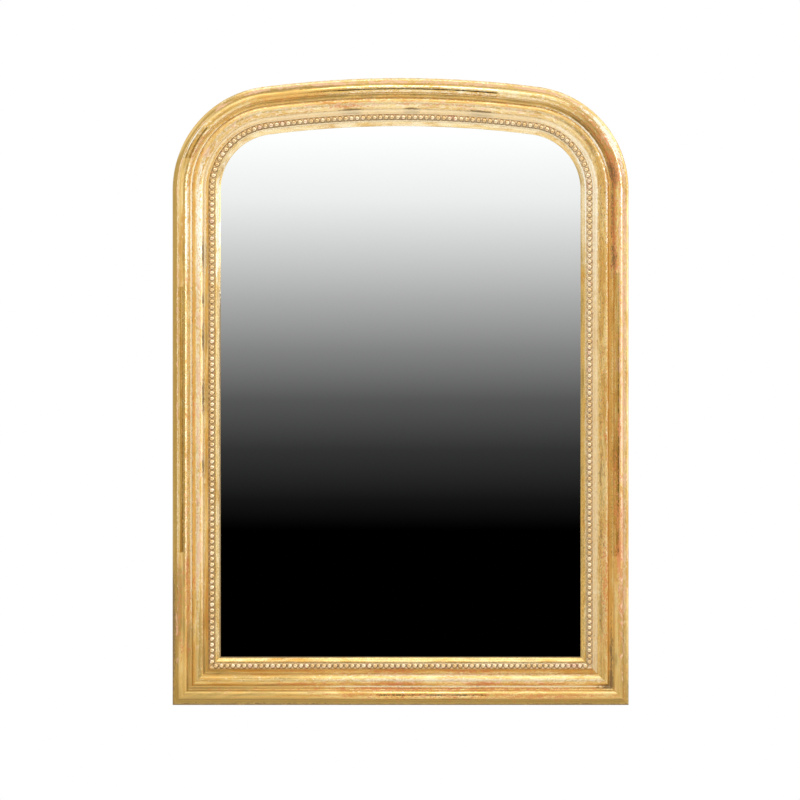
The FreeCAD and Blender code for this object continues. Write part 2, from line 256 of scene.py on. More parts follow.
def sweepLength(bm, length, rows):
    # One length of a strip, its section carried straight up, across, or round a corner
    side = 1 if length.endswith("right") else -1
    start = springing
    toPoint = lambda u, w: Vector((side * (halfWidth - u * mm), facePlane - w * mm, start))
    travel = centre = Vector()
    angle = 0
    if length == "bottom":
        start = -halfWidth - sweep["overrun"]
        toPoint = lambda u, w: Vector((start, facePlane - w * mm, u * mm - halfHeight))
        travel = Vector((-2 * start, 0, 0))
    elif length == "crown":
        turn = Matrix.Rotation(-shoulderAngle, 4, "Y")
        centre = Vector((0, 0, crownFoot))
        angle = 2 * shoulderAngle
        toPoint = lambda u, w: centre + turn @ Vector((0, facePlane - w * mm, crownRadius - u * mm))
    elif length in ("left", "right"):
        start = -halfHeight - sweep["overrun"]
        travel = Vector((0, 0, springing - start))
    else:
        centre = Vector((side * cornerReach, 0, springing))
        angle = -side * cornerAngle

    face = drawSection(bm, rows, toPoint)
    steps = round((travel.length or crownRun) / sweep["stepLength"])
    if length.startswith("top"):
        steps = sweep["cornerSteps"]
    bmesh.ops.spin(
        bm, geom=[face, *face.edges, *face.verts], cent=centre, axis=(0, 1, 0), angle=angle,
        dvec=travel / steps, steps=steps, use_duplicate=False,
    )
    closeUp(bm)
    if length == "bottom":
        cutMitre(bm, -1, -1)
        cutMitre(bm, 1, -1)
    elif length in ("left", "right"):
        cutMitre(bm, side, 1)


def finishPiece(bm, strip, length, material):
    # Lays the run map, turns the mesh right, and makes it a piece of the frame body
    closeUp(bm)
    runMap = bm.loops.layers.uv.new("run")
    for face in bm.faces:
        face.smooth = True
        for loop in face.loops:
            loop[runMap].uv = runPlace(length, loop.vert.co)
    for edge in bm.edges:
        edge.smooth = edge.calc_face_angle(0) < strip.get("smoothAngle", sweep["smoothAngle"])
    name = "gilt_" + strip["node"] + length
    mesh = takeMesh(bm, name)
    mesh.materials.append(material)
    piece = addObject(name, mesh)
    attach(piece, "frame")
    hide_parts(strip["node"] + length)


# Sections in millimetres of inset and height above the carcass, cast in gesso over pine
outerMoulding = {
    "node": "outer_moulding_",
    "slot": "gilding",
    "rows": [
        [(0, 0)], [(0, 8.1)], [(1.6, 12.0), (5.5, 13.6)], [(9.3, 13.6)],
        [(17.93, 22.0), (26.6, 13.6)], [(27.1, 13.0)],
        [(29.4, 12.43), (31.7, 12.9)], [(31.9, 14.4)], [(33.9, 14.4)], [(33.9, 0)],
    ],
}
innerMoulding = {
    "node": "inner_moulding_",
    "slot": "gilding",
    "rows": [
        [(34, 0)], [(34, 11.6)], [(34.9, 11.6)], [(37.2, 13.9), (42.47, 15.5)],
        [(51.46, 11.76), (54.23, 7.6)], [(54.72, 4.6)], [(55.53, 4.6)],
        [(59.5, 6.2), (62.2, 9.6)], [(62.9, 9.6)], [(62.9, 0)],
    ],
}
sightSlip = {
    "node": "sight_slip_",
    "slot": "gilding",
    "rows": [[(74, 0)], [(74, 6.4)], [(76.2, 6.4)], [(76.5, 5.38)], [(80.4, 3.9), (84, 1.98)], [(84, 0)]],
}
beadBorder = {
    "node": "bead_strip_",
    "slot": "gilt_beads",
    "rows": [[(63, 0)], [(63, 5.6)], [(73.9, 5.6)], [(73.9, 0)]],
    "bedHeight": 5.6 * mm,
    "line": 68.5 * mm,
    "radius": 4.8 * mm,
    "pitch": 10.05 * mm,
    "sides": 12,
    "rings": 4,
    "sunk": 0.4 * mm,
    "unevenness": 0.04,
    "seed": 11,
    "smoothAngle": math.radians(50),
}
bedTop = facePlane - beadBorder["bedHeight"]


def spaced(total, leadIn, leadOut):
    # Bead places at about the pitch between two leads
    span = total - leadIn - leadOut
    steps = max(round(span / beadBorder["pitch"]), 1)
    return [leadIn + span * step / steps for step in range(steps + 1)]


def beadPlaces(length):
    # Bead centres of one length, as x and z
    line = beadBorder["line"]
    mitreLead = beadBorder["pitch"] / math.sqrt(2)
    buttLead = beadBorder["pitch"] / 2
    side = halfWidth - line
    foot = line - halfHeight
    if length == "bottom":
        return [(s - side, foot) for s in spaced(2 * side, mitreLead, mitreLead)]
    if length in ("left", "right"):
        sign = 1 if length == "right" else -1
        return [(sign * side, foot + s) for s in spaced(springing - foot, mitreLead, buttLead)]
    if length == "crown":
        reach = crownRadius - line
        total = 2 * shoulderAngle * reach
        turns = [s / reach - shoulderAngle for s in spaced(total, buttLead, buttLead)]
        return [(reach * math.sin(turn), crownFoot + reach * math.cos(turn)) for turn in turns]
    sign = 1 if length == "top_right" else -1
    reach = cornerRadius - line
    turns = [s / reach for s in spaced(cornerAngle * reach, buttLead, buttLead)]
    return [
        (sign * (cornerReach + reach * math.cos(turn)), springing + reach * math.sin(turn))
        for turn in turns
    ]


def beadMesh():
    # A half ball facing forwards, its flat side sunk in the bed
    radius = beadBorder["radius"]
    bm = bmesh.new()
    tip = bm.verts.new((0, -radius, 0))
    bmesh.ops.spin(
        bm, geom=[tip], cent=(0, 0, 0), axis=(0, 0, 1), angle=math.pi / 2, dvec=(0, 0, 0),
        steps=beadBorder["rings"], use_duplicate=False,
    )
    rim = max(bm.verts, key=lambda vert: vert.co.x)
    foot = bm.verts.new((radius, beadBorder["sunk"], 0))
    bm.edges.new((rim, foot))
    bmesh.ops.spin(
        bm, geom=[*bm.verts, *bm.edges], cent=(0, 0, 0), axis=(0, 1, 0), angle=2 * math.pi,
        dvec=(0, 0, 0), steps=beadBorder["sides"], use_merge=True, use_duplicate=False,
    )
    bmesh.ops.remove_doubles(bm, verts=bm.verts[:], dist=sweep["touch"])
    bmesh.ops.holes_fill(bm, edges=bm.edges[:], sides=beadBorder["sides"])
    bmesh.ops.recalc_face_normals(bm, faces=bm.faces[:])
    return takeMesh(bm, "bead")


def makeBeadStrip(length, bead, material):
    bed = bmesh.new()
    sweepLength(bed, length, beadBorder["rows"])
    bedMesh = takeMesh(bed, "bed")
    bm = bmesh.new()
    chance = random.Random(beadBorder["seed"] + lengths.index(length))
    for x, z in beadPlaces(length):
        count = len(bm.verts)
        bm.from_mesh(bead)
        bm.verts.ensure_lookup_table()
        size = 1 - beadBorder["unevenness"] * chance.random()
        turn = Matrix.Rotation(chance.uniform(0, math.pi), 4, "Y")
        place = Matrix.Translation((x, bedTop, z)) @ turn @ Matrix.Scale(size, 4)
        bmesh.ops.transform(bm, matrix=place, verts=bm.verts[count:])
    bm.from_mesh(bedMesh)
    bpy.data.meshes.remove(bedMesh)
    finishPiece(bm, beadBorder, length, material)


# Water gilding: gold leaf on red bole over gesso, toned and worn. The burnished lengths mirror
# the room in dark and light bands and the rest is silky; the crests are rubbed thin and pale,
# pink and red bole shows through in streaks, and brown dirt lies in the grooves. The same layers
# also carry painted light: pale and white bands are painted highlight on faces turned to the
# light from the upper right, and toned and dirty bands are painted shade on faces turned away,
# along the sight edge and over some of the lamps' reflected highlights.
gildedLook = {
    "leaf": [(0.1, "#CDA052"), (0.5, "#E0BC70"), (0.9, "#EFD596")],
    "layers": {  # pattern, colour, softness of the edge, strength
        # toned and dirty serve as painted shade as well as tone and dirt; pale and bare as painted highlight
        # as well as wear
        "toned": ("cloud", "#AC8C46", 0.8, 0.9),
        "rich": ("veil", "#E4B25C", 0.7, 0.85),
        "pale": ("patch", "#FAEBC8", 0.6, 0.85),
        "pink": ("veil", "#EEC4A6", 0.5, 0.75),
        "rubbed": ("streak", "#C97A44", 0.3, 0.85),
        "bare": ("patch", "#FFFAEA", 0.6, 0.95),
        "dirty": ("grime", "#735933", 0.3, 0.85),
    },
    "patterns": {  # length and width of a patch, detail, distortion
        "cloud": (90 * mm, 14 * mm, 4, 0.8),
        "veil": (22 * mm, 9 * mm, 5, 1.2),
        "patch": (7 * mm, 3.5 * mm, 5, 1.4),
        "streak": (8 * mm, 3 * mm, 6, 1.6),
        "grime": (8 * mm, 2.2 * mm, 6, 2),
    },
    "apart": (3, -5),  # moves each pattern off the one before it
    "fineness": 0.6,
    "usual": (0.34, 0.66),  # the part of a noise's range that most of it keeps to
    "bare": 0,  # where a length says nothing of it
    "stainCore": 0.2,  # share of its reach in which a stain is full
    "burnishedEnds": (1 * mm, 1 * mm),
    "roughness": (0.34, 0.13),  # matt and burnished
    "metal": (0.5, 1),
    "wornDull": 0.25,  # roughness added where the leaf is worn
    "wornMetal": 0.35,
    "glossDrift": (-0.05, 0.05),
    "wornDepth": -0.5,  # lower where it is worn, as a share of the relief
    "bump": {"Strength": 0.5, "Distance": 0.08 * mm},
    "bareEdge": (0.2 * mm, 0.7 * mm),  # the outer side has its wash and no leaf
}
mixA, mixB = 6, 7  # a Mix node's colour inputs
softEnds = {"interpolation_type": "SMOOTHSTEP"}  # for a Map Range node


def across(stops, width):  # (mm, value) marks, or one value for the whole width, as a ramp's stops
    if not isinstance(stops, list):
        stops = [(0, stops), (width, stops)]
    return [(place / width, value) for place, value in stops]


def waterGilding(add, look, seed):
    look = gildedLook | look
    width = look["width"]
    run = add("SeparateXYZ", {0: add("UVMap", uv_map="run")}).outputs
    here = add("SeparateXYZ", {0: add("TexCoord").outputs["Object"]}).outputs
    surface = add("CombineXYZ", {"X": run["X"], "Y": run["Y"], "Z": here["Y"]})
    inset = add("Math", {0: run["Y"], 1: 1 / (width * mm)}, operation="MULTIPLY")

    patterns = {}
    for number, (kind, (long, wide, detail, bend)) in enumerate(look["patterns"].items()):
        shift = [seed + number * step for step in look["apart"]]
        spread = add("Mapping", {
            "Vector": surface, "Location": (*shift, 0), "Scale": (1 / long, 1 / wide, 1 / wide),
        })
        noise = add("TexNoise", {
            "Vector": spread, "Scale": 1, "Detail": detail, "Roughness": look["fineness"],
            "Distortion": bend,
        })
        patterns[kind] = add("MapRange", {"Value": noise, "From": look["usual"]})

    # Each layer covers as much as its marks say at that inset, first where its pattern is high,
    # and the marks of the next length come in along the run
    if look["next"]:
        passed = add("MapRange", {"Value": run["X"], "From": look["runEnds"]})
        passed = add("ValToRGB", {0: passed}, look["blend"])
    spot = add("CombineXYZ", {"X": here[look["axis"]], "Y": run["Y"]})
    colour = add("ValToRGB", {0: patterns["cloud"]}, look["leaf"])
    covers = {}
    for layer, (kind, tint, soft, strength) in look["layers"].items():
        amount = add("ValToRGB", {0: inset}, across(look[layer], width))
        if layer in look["next"]:
            other = add("ValToRGB", {0: inset}, across(look["next"][layer], width))
            amount = add("Mix", {0: passed, 2: amount, 3: other}, data_type="FLOAT")
        marks = [mark for group in look["stains"] for mark in group.get(layer, [])]
        for place, depth, long, wide, extra in marks:
            away = add("Mapping", {
                "Vector": spot, "Location": (-place / long, -depth / wide, 0),
                "Scale": (1 / (long * mm), 1 / (wide * mm), 1),
            })
            away = add("VectorMath", {0: away}, operation="LENGTH")
            near = add("MapRange", {"Value": away, "From": (1, look["stainCore"]), "To": (0, extra)})
            amount = add("Math", {0: amount, 1: near}, operation="ADD")
        level = add("Math", {0: amount, 1: 1 + soft, 2: patterns[kind]}, operation="MULTIPLY_ADD")
        cover = add("MapRange", {"Value": level, "From": (1, 1 + soft), "To": (0, strength)}, **softEnds)
        colour = add("Mix", {"Factor": cover, mixA: colour, mixB: tint}, data_type="RGBA")
        covers[layer] = cover

    # The burnished length lies between two ends, mostly sharp
    along = here[look["axis"]]
    low, high = [end * mm for end in look["burnished"]]
    first, last = look["burnishedEnds"]
    rise = add("MapRange", {"Value": along, "From": (low - first, low + first)})
    fall = add("MapRange", {"Value": along, "From": (high + last, high - last)})
    ends = add("Math", {0: rise, 1: fall}, operation="MULTIPLY")
    shine = add("ValToRGB", {0: inset}, across(look["shiny"], width))
    shine = add("Math", {0: shine, 1: ends}, operation="MULTIPLY")

    worn = add("Math", {0: covers["rubbed"], 1: covers["dirty"]}, operation="MAXIMUM")
    gloss = add("MapRange", {"Value": shine, "To": look["roughness"]})
    drift = add("MapRange", {"Value": patterns["streak"], "To": look["glossDrift"]})
    gloss = add("Math", {0: gloss, 1: drift}, operation="ADD")
    gloss = add("Math", {0: worn, 1: look["wornDull"], 2: gloss}, operation="MULTIPLY_ADD", use_clamp=True)
    metal = add("MapRange", {"Value": shine, "To": look["metal"]})
    left = add("MapRange", {"Value": worn, "To": (1, look["wornMetal"])})
    metal = add("Math", {0: metal, 1: left}, operation="MULTIPLY")
    gilded = add("MapRange", {"Value": run["Y"], "From": look["bareEdge"]})
    metal = add("Math", {0: metal, 1: gilded}, operation="MULTIPLY")

    # Scraped gesso under the leaf, a little lower where it is worn
    relief = add("Math", {0: patterns["patch"], 1: patterns["streak"]}, operation="ADD")
    relief = add("Math", {0: worn, 1: look["wornDepth"], 2: relief}, operation="MULTIPLY_ADD")
    bump = add("Bump", look["bump"] | {"Height": relief})
    return add("BsdfPrincipled", {
        "Base Color": colour, "Metallic": metal, "Roughness": gloss, "Normal": bump,
    })


# Each length's own wear and painted light, in millimetres of inset from the outer edge
outerWearAndLight = {
    # left: the outer edge, turned from the light, is toned as painted shade, and so is the flank at 18-24 mm
    "left": {
        "toned": [(7, 1), (8.5, 0.2), (11, 0.1), (12.5, 0.2), (18.5, 0.2), (20, 0.7), (22.5, 0.6), (24, 0)],
        "rich": [(26, 0), (30, 0.5), (31.6, 0.3), (32, 0)],
        "pale": [(7, 0), (9, 0.6), (11, 0.4), (12.5, 0.2), (21, 0.2), (24, 0.5), (26.5, 0.5),
                 (28.5, 0.1), (31, 0.3), (31.8, 1)],
        "pink": [(6, 0), (8, 0.4), (11, 0.1), (20, 0.1), (25, 0.3), (28, 0.2), (31, 0)],
        "rubbed": [(5, 0), (8, 0.1), (20, 0.2), (26, 0.2), (29, 0.3), (31, 0.1)],
        "dirty": [(0, 0.05), (9, 0), (9.4, 0.2), (10, 0), (31, 0.05), (31.6, 0.1), (32, 0)],
    },
    # right: the outer edge, turned to the light, is paled as painted highlight; toned at 11-15 mm as painted
    # shade over a highlight
    "right": {
        "toned": [(9, 0), (11, 0.3), (15, 0.3), (17, 0), (20, 0.1), (22, 0.2), (27, 0.2), (34, 0.1)],
        "rich": [(27, 0), (29, 0.4), (31, 0.7)],
        "pale": [(0, 0.2), (4, 0.3), (7, 0.5), (11, 0.2), (15, 0.2), (18, 0), (31, 0), (34, 0.1)],
        "pink": [(0, 0.2), (5, 0.4), (11, 0.6), (17, 0.5), (19, 0.2), (26, 0.2), (28, 0)],
        "rubbed": [(0, 0.08), (10, 0.15), (14, 0.25), (26, 0.25), (29, 0.15), (31, 0.2), (34, 0.15)],
        "dirty": [(9, 0), (9.4, 0.15), (10, 0), (22, 0.1), (24, 0.2), (28, 0.2), (30, 0.1), (34, 0)],
    },
    # crown: the pale bands on its upturned faces are partly painted highlight
    "crown": {
        "toned": [(4, 0.3), (8, 0.4), (12, 0.3), (13.5, 0), (26, 0), (28.5, 0.5), (31.5, 0.5), (34, 0.2)],
        "rich": [(22, 0), (27, 0.3), (28.5, 0), (31.5, 0), (34, 0.4)],
        "pale": [(0, 0.5), (3.5, 0.4), (5.5, 0.2), (12.5, 0.1), (14, 0.5), (17, 0.5), (20, 0.3),
                 (25, 0.6), (27, 0.4), (28.5, 0), (34, 0.1)],
        "pink": [(3, 0), (5, 0.6), (9, 0.5), (11, 0.1)],
        "rubbed": [(0, 0), (6, 0.05), (28, 0.15), (31, 0.35), (34, 0.1)],
        "dirty": [(8.8, 0), (9.3, 0.6), (10.2, 0.5), (10.8, 0), (30.8, 0), (31.4, 0.4), (32, 0), (34, 0.1)],
    },
    # bottom: the downturned outer edge is toned and dirtied dark as painted shade
    "bottom": {
        "toned": [(0, 1), (8, 0.9), (11, 0.5), (14, 0.2), (17, 0)],
        "rich": [(9, 0), (11, 0.2), (14, 0.3), (20, 0.3), (22, 0), (27, 0.2), (31, 0.4), (34, 0.2)],
        "pale": [(19, 0), (22.5, 0.3), (25, 0.3), (27, 0), (31.5, 0.2), (31.9, 0.9)],
        "pink": [(22, 0), (26, 0.3), (28, 0)],
        "rubbed": [(0, 0.1), (10, 0.25), (13, 0.4), (20, 0.5), (22, 0.1), (26, 0.3), (28, 0.6),
                   (30, 0.6), (31.8, 0.1)],
        "dirty": [(0, 0.8), (2, 0.6), (3.5, 0.2), (9, 0.05), (27, 0.1), (29, 0.3), (31.4, 0.2), (32, 0),
                  (34, 0.1)],
    },
    "foot": {  # the dull ends at the bottom mitres, darker than the lengths above them
        "toned": [(10, 1), (13, 0.7), (18, 0.5), (26, 0.65), (34, 0.5)],
        "rich": [(0, 0), (27, 0.1), (34, 0.3)],
        "pale": [(20, 0), (24, 0.1), (27, 0)],
        "pink": [(14, 0), (18, 0.2), (26, 0.2), (34, 0.1)],
        "rubbed": [(6, 0.1), (20, 0.15), (28, 0.25), (34, 0.15)],
        "dirty": [(0, 0.8), (2, 0.6), (5, 0.3), (8, 0.1), (16, 0.1), (18, 0), (28, 0.1), (31.6, 0.2),
                  (32, 0), (34, 0.05)],
    },
}
outerShine = {"width": 34, "shiny": [(9, 0), (9.8, 1), (22.5, 1), (25, 0.3), (34, 0.2)]}
# Which table of wear and painted light each length starts with, which it goes over to, and how far it has at
# shares of its run
wearAndLightAlong = {
    "left": ("left", "foot", [(0, 1), (0.12, 0.8), (0.3, 0)]),
    "top_left": ("left", "crown", [(0, 0), (1, 1)]),
    "crown": ("crown", None, []),
    "top_right": ("crown", "right", [(0, 0), (1, 1)]),
    "right": ("right", "foot", [(0.7, 0), (1, 0.6)]),
    "bottom": ("bottom", "foot", [(0, 0.5), (0.2, 0.1), (0.35, 0), (0.55, 0), (0.75, 0.8), (1, 1)]),
}
# Rubs and stains of their own, with painted highlight and shade among them, by layer: place along the
# length and inset, reach along and across, and how much they add
wornAndLitTops = {  # where the tops of the stiles are worn white and painted white as highlight, over into the corners
    "left": {
        "bare": [(290, 46.5, 180, 9, 0.7), (290, 25.5, 160, 5, 0.8), (290, 33, 160, 2.5, 0.6),
                 (290, 79.5, 180, 6, 0.8)],
        "dirty": [(300, 83, 180, 4, -1)],
        "pale": [(290, 56, 150, 6, 0.7)],
    },
    "right": {
        "bare": [(340, 38.5, 150, 4, 0.6), (340, 58.5, 200, 6, 1.2), (340, 75.5, 140, 3, 1),
                 (340, 13, 160, 3, 0.5)],
        "pale": [(320, 80, 130, 6, 0.6)],
        "toned": [(300, 27, 150, 8, 0.4)],
        "dirty": [(320, 30, 130, 5, 0.35)],
        "rubbed": [(290, 27, 130, 8, 0.45)],
    },
}
stains = {
    "left": [wornAndLitTops["left"], {
        "rubbed": [(-27, 37, 45, 2.5, 0.4), (-310, 24, 40, 6, 0.3), (-333, 38, 18, 4, 0.4),
                   (-452, 18, 30, 6, 0.3), (-380, 12, 110, 8, 0.35), (-370, 28, 110, 5, 0.25),
                   (-370, 60, 120, 5, 0.2)],
        "toned": [(240, 18, 40, 4, 0.5), (-360, 12, 90, 7, 0.7), (-480, 12, 70, 16, -0.3)],
        "dirty": [(-380, 2, 130, 6, 0.5), (-380, 13, 110, 4, 0.2), (-8, 53, 45, 2.5, 0.9),
                  (95, 53, 35, 2.5, 0.9), (240, 53, 50, 2.5, 0.8), (-130, 53, 30, 2.5, 0.7),
                  (160, 53, 20, 2.5, 0.8)],
        "pink": [(-430, 8, 90, 6, 0.4)],
    }],
    "top_left": [wornAndLitTops["left"], {
        "rubbed": [(430, 24, 40, 5, 0.3), (525, 22, 50, 9, 0.13)],
        "bare": [(440, 11.4, 50, 2.5, 0.8)],
        "rich": [(430, 17, 60, 4, 0.7), (525, 20, 50, 12, 0.5)],
        "toned": [(430, 16, 60, 4, 0.6), (440, 2, 80, 5, -0.5), (525, 24, 50, 9, 0.28),
                  (525, 12, 50, 7, 0.38)],
        "pale": [(525, 18, 50, 12, -0.5)],
    }],
    "crown": [{
        "rubbed": [(-90, 47, 60, 4, 0.4), (60, 46, 80, 4, 0.25), (-190, 22, 110, 9, 0.2)],
        "toned": [(-180, 24, 110, 9, 0.5), (-190, 12, 90, 7, 0.7)],
        "pale": [(-190, 18, 120, 12, -0.7)],
        "rich": [(-190, 20, 120, 12, 0.7)],
        "dirty": [(-85, 53, 30, 2.5, 0.8), (140, 53, 35, 2.5, 0.8), (20, 53, 20, 2.5, 0.8)],
    }],
    "top_right": [wornAndLitTops["right"], {
        "rubbed": [(385, 22, 40, 10, 0.5), (440, 24, 70, 8, 0.3), (450, 15, 80, 5, 0.35)],
        "dirty": [(385, 24, 34, 9, 0.5), (460, 30, 60, 2, 0.7)],
        "toned": [(430, 24, 90, 12, 0.9), (440, 43, 60, 6, 0.6), (450, 15, 80, 5, 1)],
        "bare": [(445, 7.5, 90, 6, 0.9), (440, 34, 90, 2.5, 1)],
    }],
    "right": [wornAndLitTops["right"], {
        "dirty": [(230, 25, 40, 8, 0.35), (-100, 24, 60, 6, 0.2), (-138, 49, 40, 4, 0.2),
                  (-252, 48, 40, 4, 0.2), (-460, 31, 80, 6, 0.5), (-512, 31, 30, 6, 0.7)],
        "rubbed": [(225, 22, 30, 8, 0.25), (-60, 17, 35, 5, 0.3), (-76, 40, 16, 3, 0.5),
                   (-140, 24, 45, 6, 0.3), (-215, 21, 40, 7, 0.35), (-290, 18, 40, 6, 0.3),
                   (-300, 14, 200, 9, 0.3), (-330, 42, 180, 9, 0.25)],
        "rich": [(-430, 32, 120, 7, 0.8)],
        "toned": [(-420, 12, 140, 4, 0.5)],
        "pale": [(-430, 59, 160, 5, 0.7)],
    }],
    "bottom": [{
        "rubbed": [(-10, 37, 50, 5, 0.4), (143, 37, 40, 5, 0.4), (-10, 59, 60, 4, 0.3),
                   (120, 60, 60, 4, 0.3), (-10, 29, 70, 4, 0.3), (-180, 37, 90, 4, 0.35),
                   (-170, 60, 80, 4, 0.25), (250, 37, 80, 4, 0.25), (250, 14, 90, 6, 0.2)],
        "dirty": [(366, 33, 28, 6, 0.7)],
    }],
}
burnishedLengths = {  # places on the frame, in millimetres
    "left": {
        "axis": "Z", "burnished": (-281.8, 183.5),
        "shiny": [(9, 0), (9.8, 1), (18, 1), (19.5, 0.3), (34, 0.2)],
    },
    "right": {
        "axis": "Z", "burnished": (-288.8, 208),
        "shiny": [(15.5, 0), (17.5, 1), (24, 1), (27, 0.3), (34, 0.2)],
    },
    "crown": {"axis": "X", "burnished": (-140, 169.2), "burnishedEnds": (40 * mm, 1 * mm)},
    "bottom": {"axis": "X", "burnished": (-43.2, 149.9)},
    "top_left": {"axis": "Z", "burnished": (409, 463)},
    "top_right": {"axis": "Z", "burnished": (600, 610)},
}
# Inner moulding wear and painted light: pale and bare bands are partly painted highlight, toned bands partly
# painted shade, as on the left at 48-52 mm
innerWearAndLight = {
    "left": {
        "toned": [(48, 0), (49, 0.4), (50.5, 0.4), (52, 0)],
        "rich": [(34, 0.3), (36, 0.7), (39, 0.6), (42, 0.2), (44, 0), (53, 0), (57, 0.3)],
        "pale": [(34, 0.7), (35, 0.5), (37, 0.1), (40, 0.2), (42, 0.6), (47, 0.6), (48.5, 0.2),
                 (50.5, 0.1), (52, 0.9), (54, 0.9), (57, 0.2), (61, 0), (62, 0.3)],
        "pink": [(36, 0), (40, 0.3), (44, 0.45), (52, 0.4), (54, 0)],
        "rubbed": [(34, 0.1), (38, 0.2), (42, 0.15), (52, 0.12), (56, 0.15), (63, 0.1)],
        "dirty": [(52.8, 0), (53.4, 0.15), (54.8, 0.15), (55.4, 0)],
    },
    "right": {
        "toned": [(40, 0), (42, 0.1), (45, 0.2), (48, 0.4), (51, 0.3), (54, 0.1), (55, 0)],
        "bare": [(56, 0), (58, 0.35)],
        "rich": [(34, 0.7), (37, 0.5), (38.5, 0.1), (50, 0.1), (55, 0)],
        "pale": [(34, 0.3), (35.5, 0), (37, 0.4), (39, 0.4), (41, 0.2), (44, 0.1), (52, 0.3),
                 (55.5, 0.7), (57.5, 1)],
        "pink": [(34, 0), (38, 0.15), (50, 0.1), (58, 0.15)],
        "rubbed": [(34, 0.15), (38, 0.2), (46, 0.25), (51, 0.25), (55, 0.05)],
        "dirty": [(34, 0), (38, 0.05), (42, 0.3), (52, 0.35), (54.4, 0.2), (55, 0)],
    },
    "crown": {
        "toned": [(34, 0.05), (38, 0), (39.5, 0.4), (41, 0.05)],
        "rich": [(34, 0.3), (36, 0.1), (39, 0.1), (60, 0), (62, 0.1)],
        "pale": [(34, 0.3), (36.6, 0.5), (38.4, 0.3), (39.5, 0), (41, 0.1), (43, 0.5), (52, 0.4),
                 (54, 0.7), (56, 1), (60, 0.8)],
        "pink": [(38, 0), (40, 0.4), (43, 0.3), (50, 0.3), (54, 0)],
        "rubbed": [(34, 0.1), (37, 0.05), (40, 0.35), (43, 0.2), (52, 0.2), (54, 0.05)],
        "dirty": [(34, 0.1), (35, 0), (52.8, 0), (53.4, 0.3), (54.8, 0.3), (55.4, 0)],
    },
    "bottom": {
        "toned": 0.05,
        "rich": [(34, 0.3), (38, 0.5), (40, 0.3), (43, 0), (54, 0.1), (58, 0.3)],
        "pale": [(34, 0.5), (36, 0.1), (41, 0.3), (43, 0.7), (46, 0.6), (49, 0.2), (52, 0.6),
                 (54, 0.6), (56, 0.3), (58, 0.1), (61, 0), (63, 0.2)],
        "pink": [(36, 0.1), (39, 0.4), (43, 0.3), (46, 0)],
        "rubbed": [(34, 0.2), (38, 0.4), (42, 0.3), (44, 0.1), (52, 0.05), (55, 0.25), (60, 0.4), (63, 0.3)],
        "dirty": [(53, 0), (53.6, 0.2), (54.8, 0.2), (55.4, 0)],
    },
    "foot": {
        "toned": [(34, 0.5), (40, 0.3), (45, 0.3), (47, 0.7), (51, 0.65), (53, 0.3), (56, 0.5)],
        "rich": [(34, 0.3), (40, 0.1)],
        "pale": [(34, 0.1), (36, 0), (42, 0.2), (50, 0.2), (53, 0.1), (56, 0)],
        "pink": 0.05,
        "rubbed": [(34, 0.1), (40, 0.2), (63, 0.15)],
        "dirty": [(34, 0.1), (36, 0), (53, 0), (53.6, 0.15), (55, 0.1), (55.5, 0)],
    },
}
innerShine = {"width": 63, "shiny": 0.1}
paintedLitSlip = {  # where the slip faces the light and is painted pale as lit, with dark edges by the beads and the glass: dirt and painted shadow
    "toned": 0.1,
    "rich": [(74, 0.1), (84, 0)],
    "pale": [(76, 0.2), (77, 0.5)],
    "pink": 0,
    "rubbed": [(76, 0.1), (84, 0.03)],
    "dirty": [(74, 0.6), (74.8, 0.3), (76.2, 0.05), (76.5, 0.2), (77, 0), (81, 0), (81.8, 0.6), (82.4, 1)],
}
slipWearAndLight = {
    "left": paintedLitSlip,
    "bottom": paintedLitSlip | {
        "toned": [(77, 0.1), (78, 0.3)],
        "pale": 0.2,
        "dirty": [(74, 0.6), (74.8, 0.3), (76.2, 0.05), (76.5, 0.2), (77, 0), (82, 0), (82.8, 0.8), (84, 1)],
    },
    "crown": paintedLitSlip | {
        "pale": [(74, 0.9), (76, 0.8), (77, 0.5)],
        "dirty": [(74, 0.3), (74.6, 0), (76.2, 0), (76.5, 0.2), (77, 0), (83.4, 0), (84, 0.3)],
    },
    # the right slip faces away from the light and is toned as painted shade
    "right": paintedLitSlip | {
        "toned": [(77, 0.1), (78.5, 0.4)],
        "pale": [(76.5, 0.5), (77, 0.2), (84, 0.1)],
        "dirty": [(74, 0.4), (74.6, 0), (76.2, 0), (76.5, 0.2), (77, 0), (83.4, 0), (84, 0.3)],
    },
    "foot": paintedLitSlip | {"pale": 0.3, "toned": 0.2},
}
slipShine = {
    "width": 84,
    "shiny": 0.3,
    "patterns": gildedLook["patterns"] | {"patch": (30 * mm, 9 * mm, 3, 0.8)},
    "layers": gildedLook["layers"] | {"pale": ("patch", "#FAEBC8", 1.8, 0.85)},
}
everywhere = (-600, 600)
patternSeeds = {"outer": 0, "inner": 10, "slip": 20}


def gildStrip(strip, kind, length, wear, shine, zone):
    first, second, blend = wearAndLightAlong[length]
    start = runStart[length]
    look = shine | wear[first] | zone | {
        "next": wear.get(second, {}), "blend": blend, "stains": stains[length],
        "runEnds": (start, start + runLengths[length]),
    }
    name = "waterGilding_" + kind + "_" + length
    bm = bmesh.new()
    sweepLength(bm, length, strip["rows"])
    finishPiece(bm, strip, length, makeMaterial(name, waterGilding, look, patternSeeds[kind]))


for length in lengths:
    gildStrip(outerMoulding, "outer", length, outerWearAndLight, outerShine, burnishedLengths[length])
print("outer mouldings made")

for length in lengths:
    zone = {"axis": burnishedLengths[length]["axis"], "burnished": everywhere}
    gildStrip(innerMoulding, "inner", length, innerWearAndLight, innerShine, zone)
    gildStrip(sightSlip, "slip", length, slipWearAndLight, slipShine, zone)
print("inner mouldings and sight slips made")


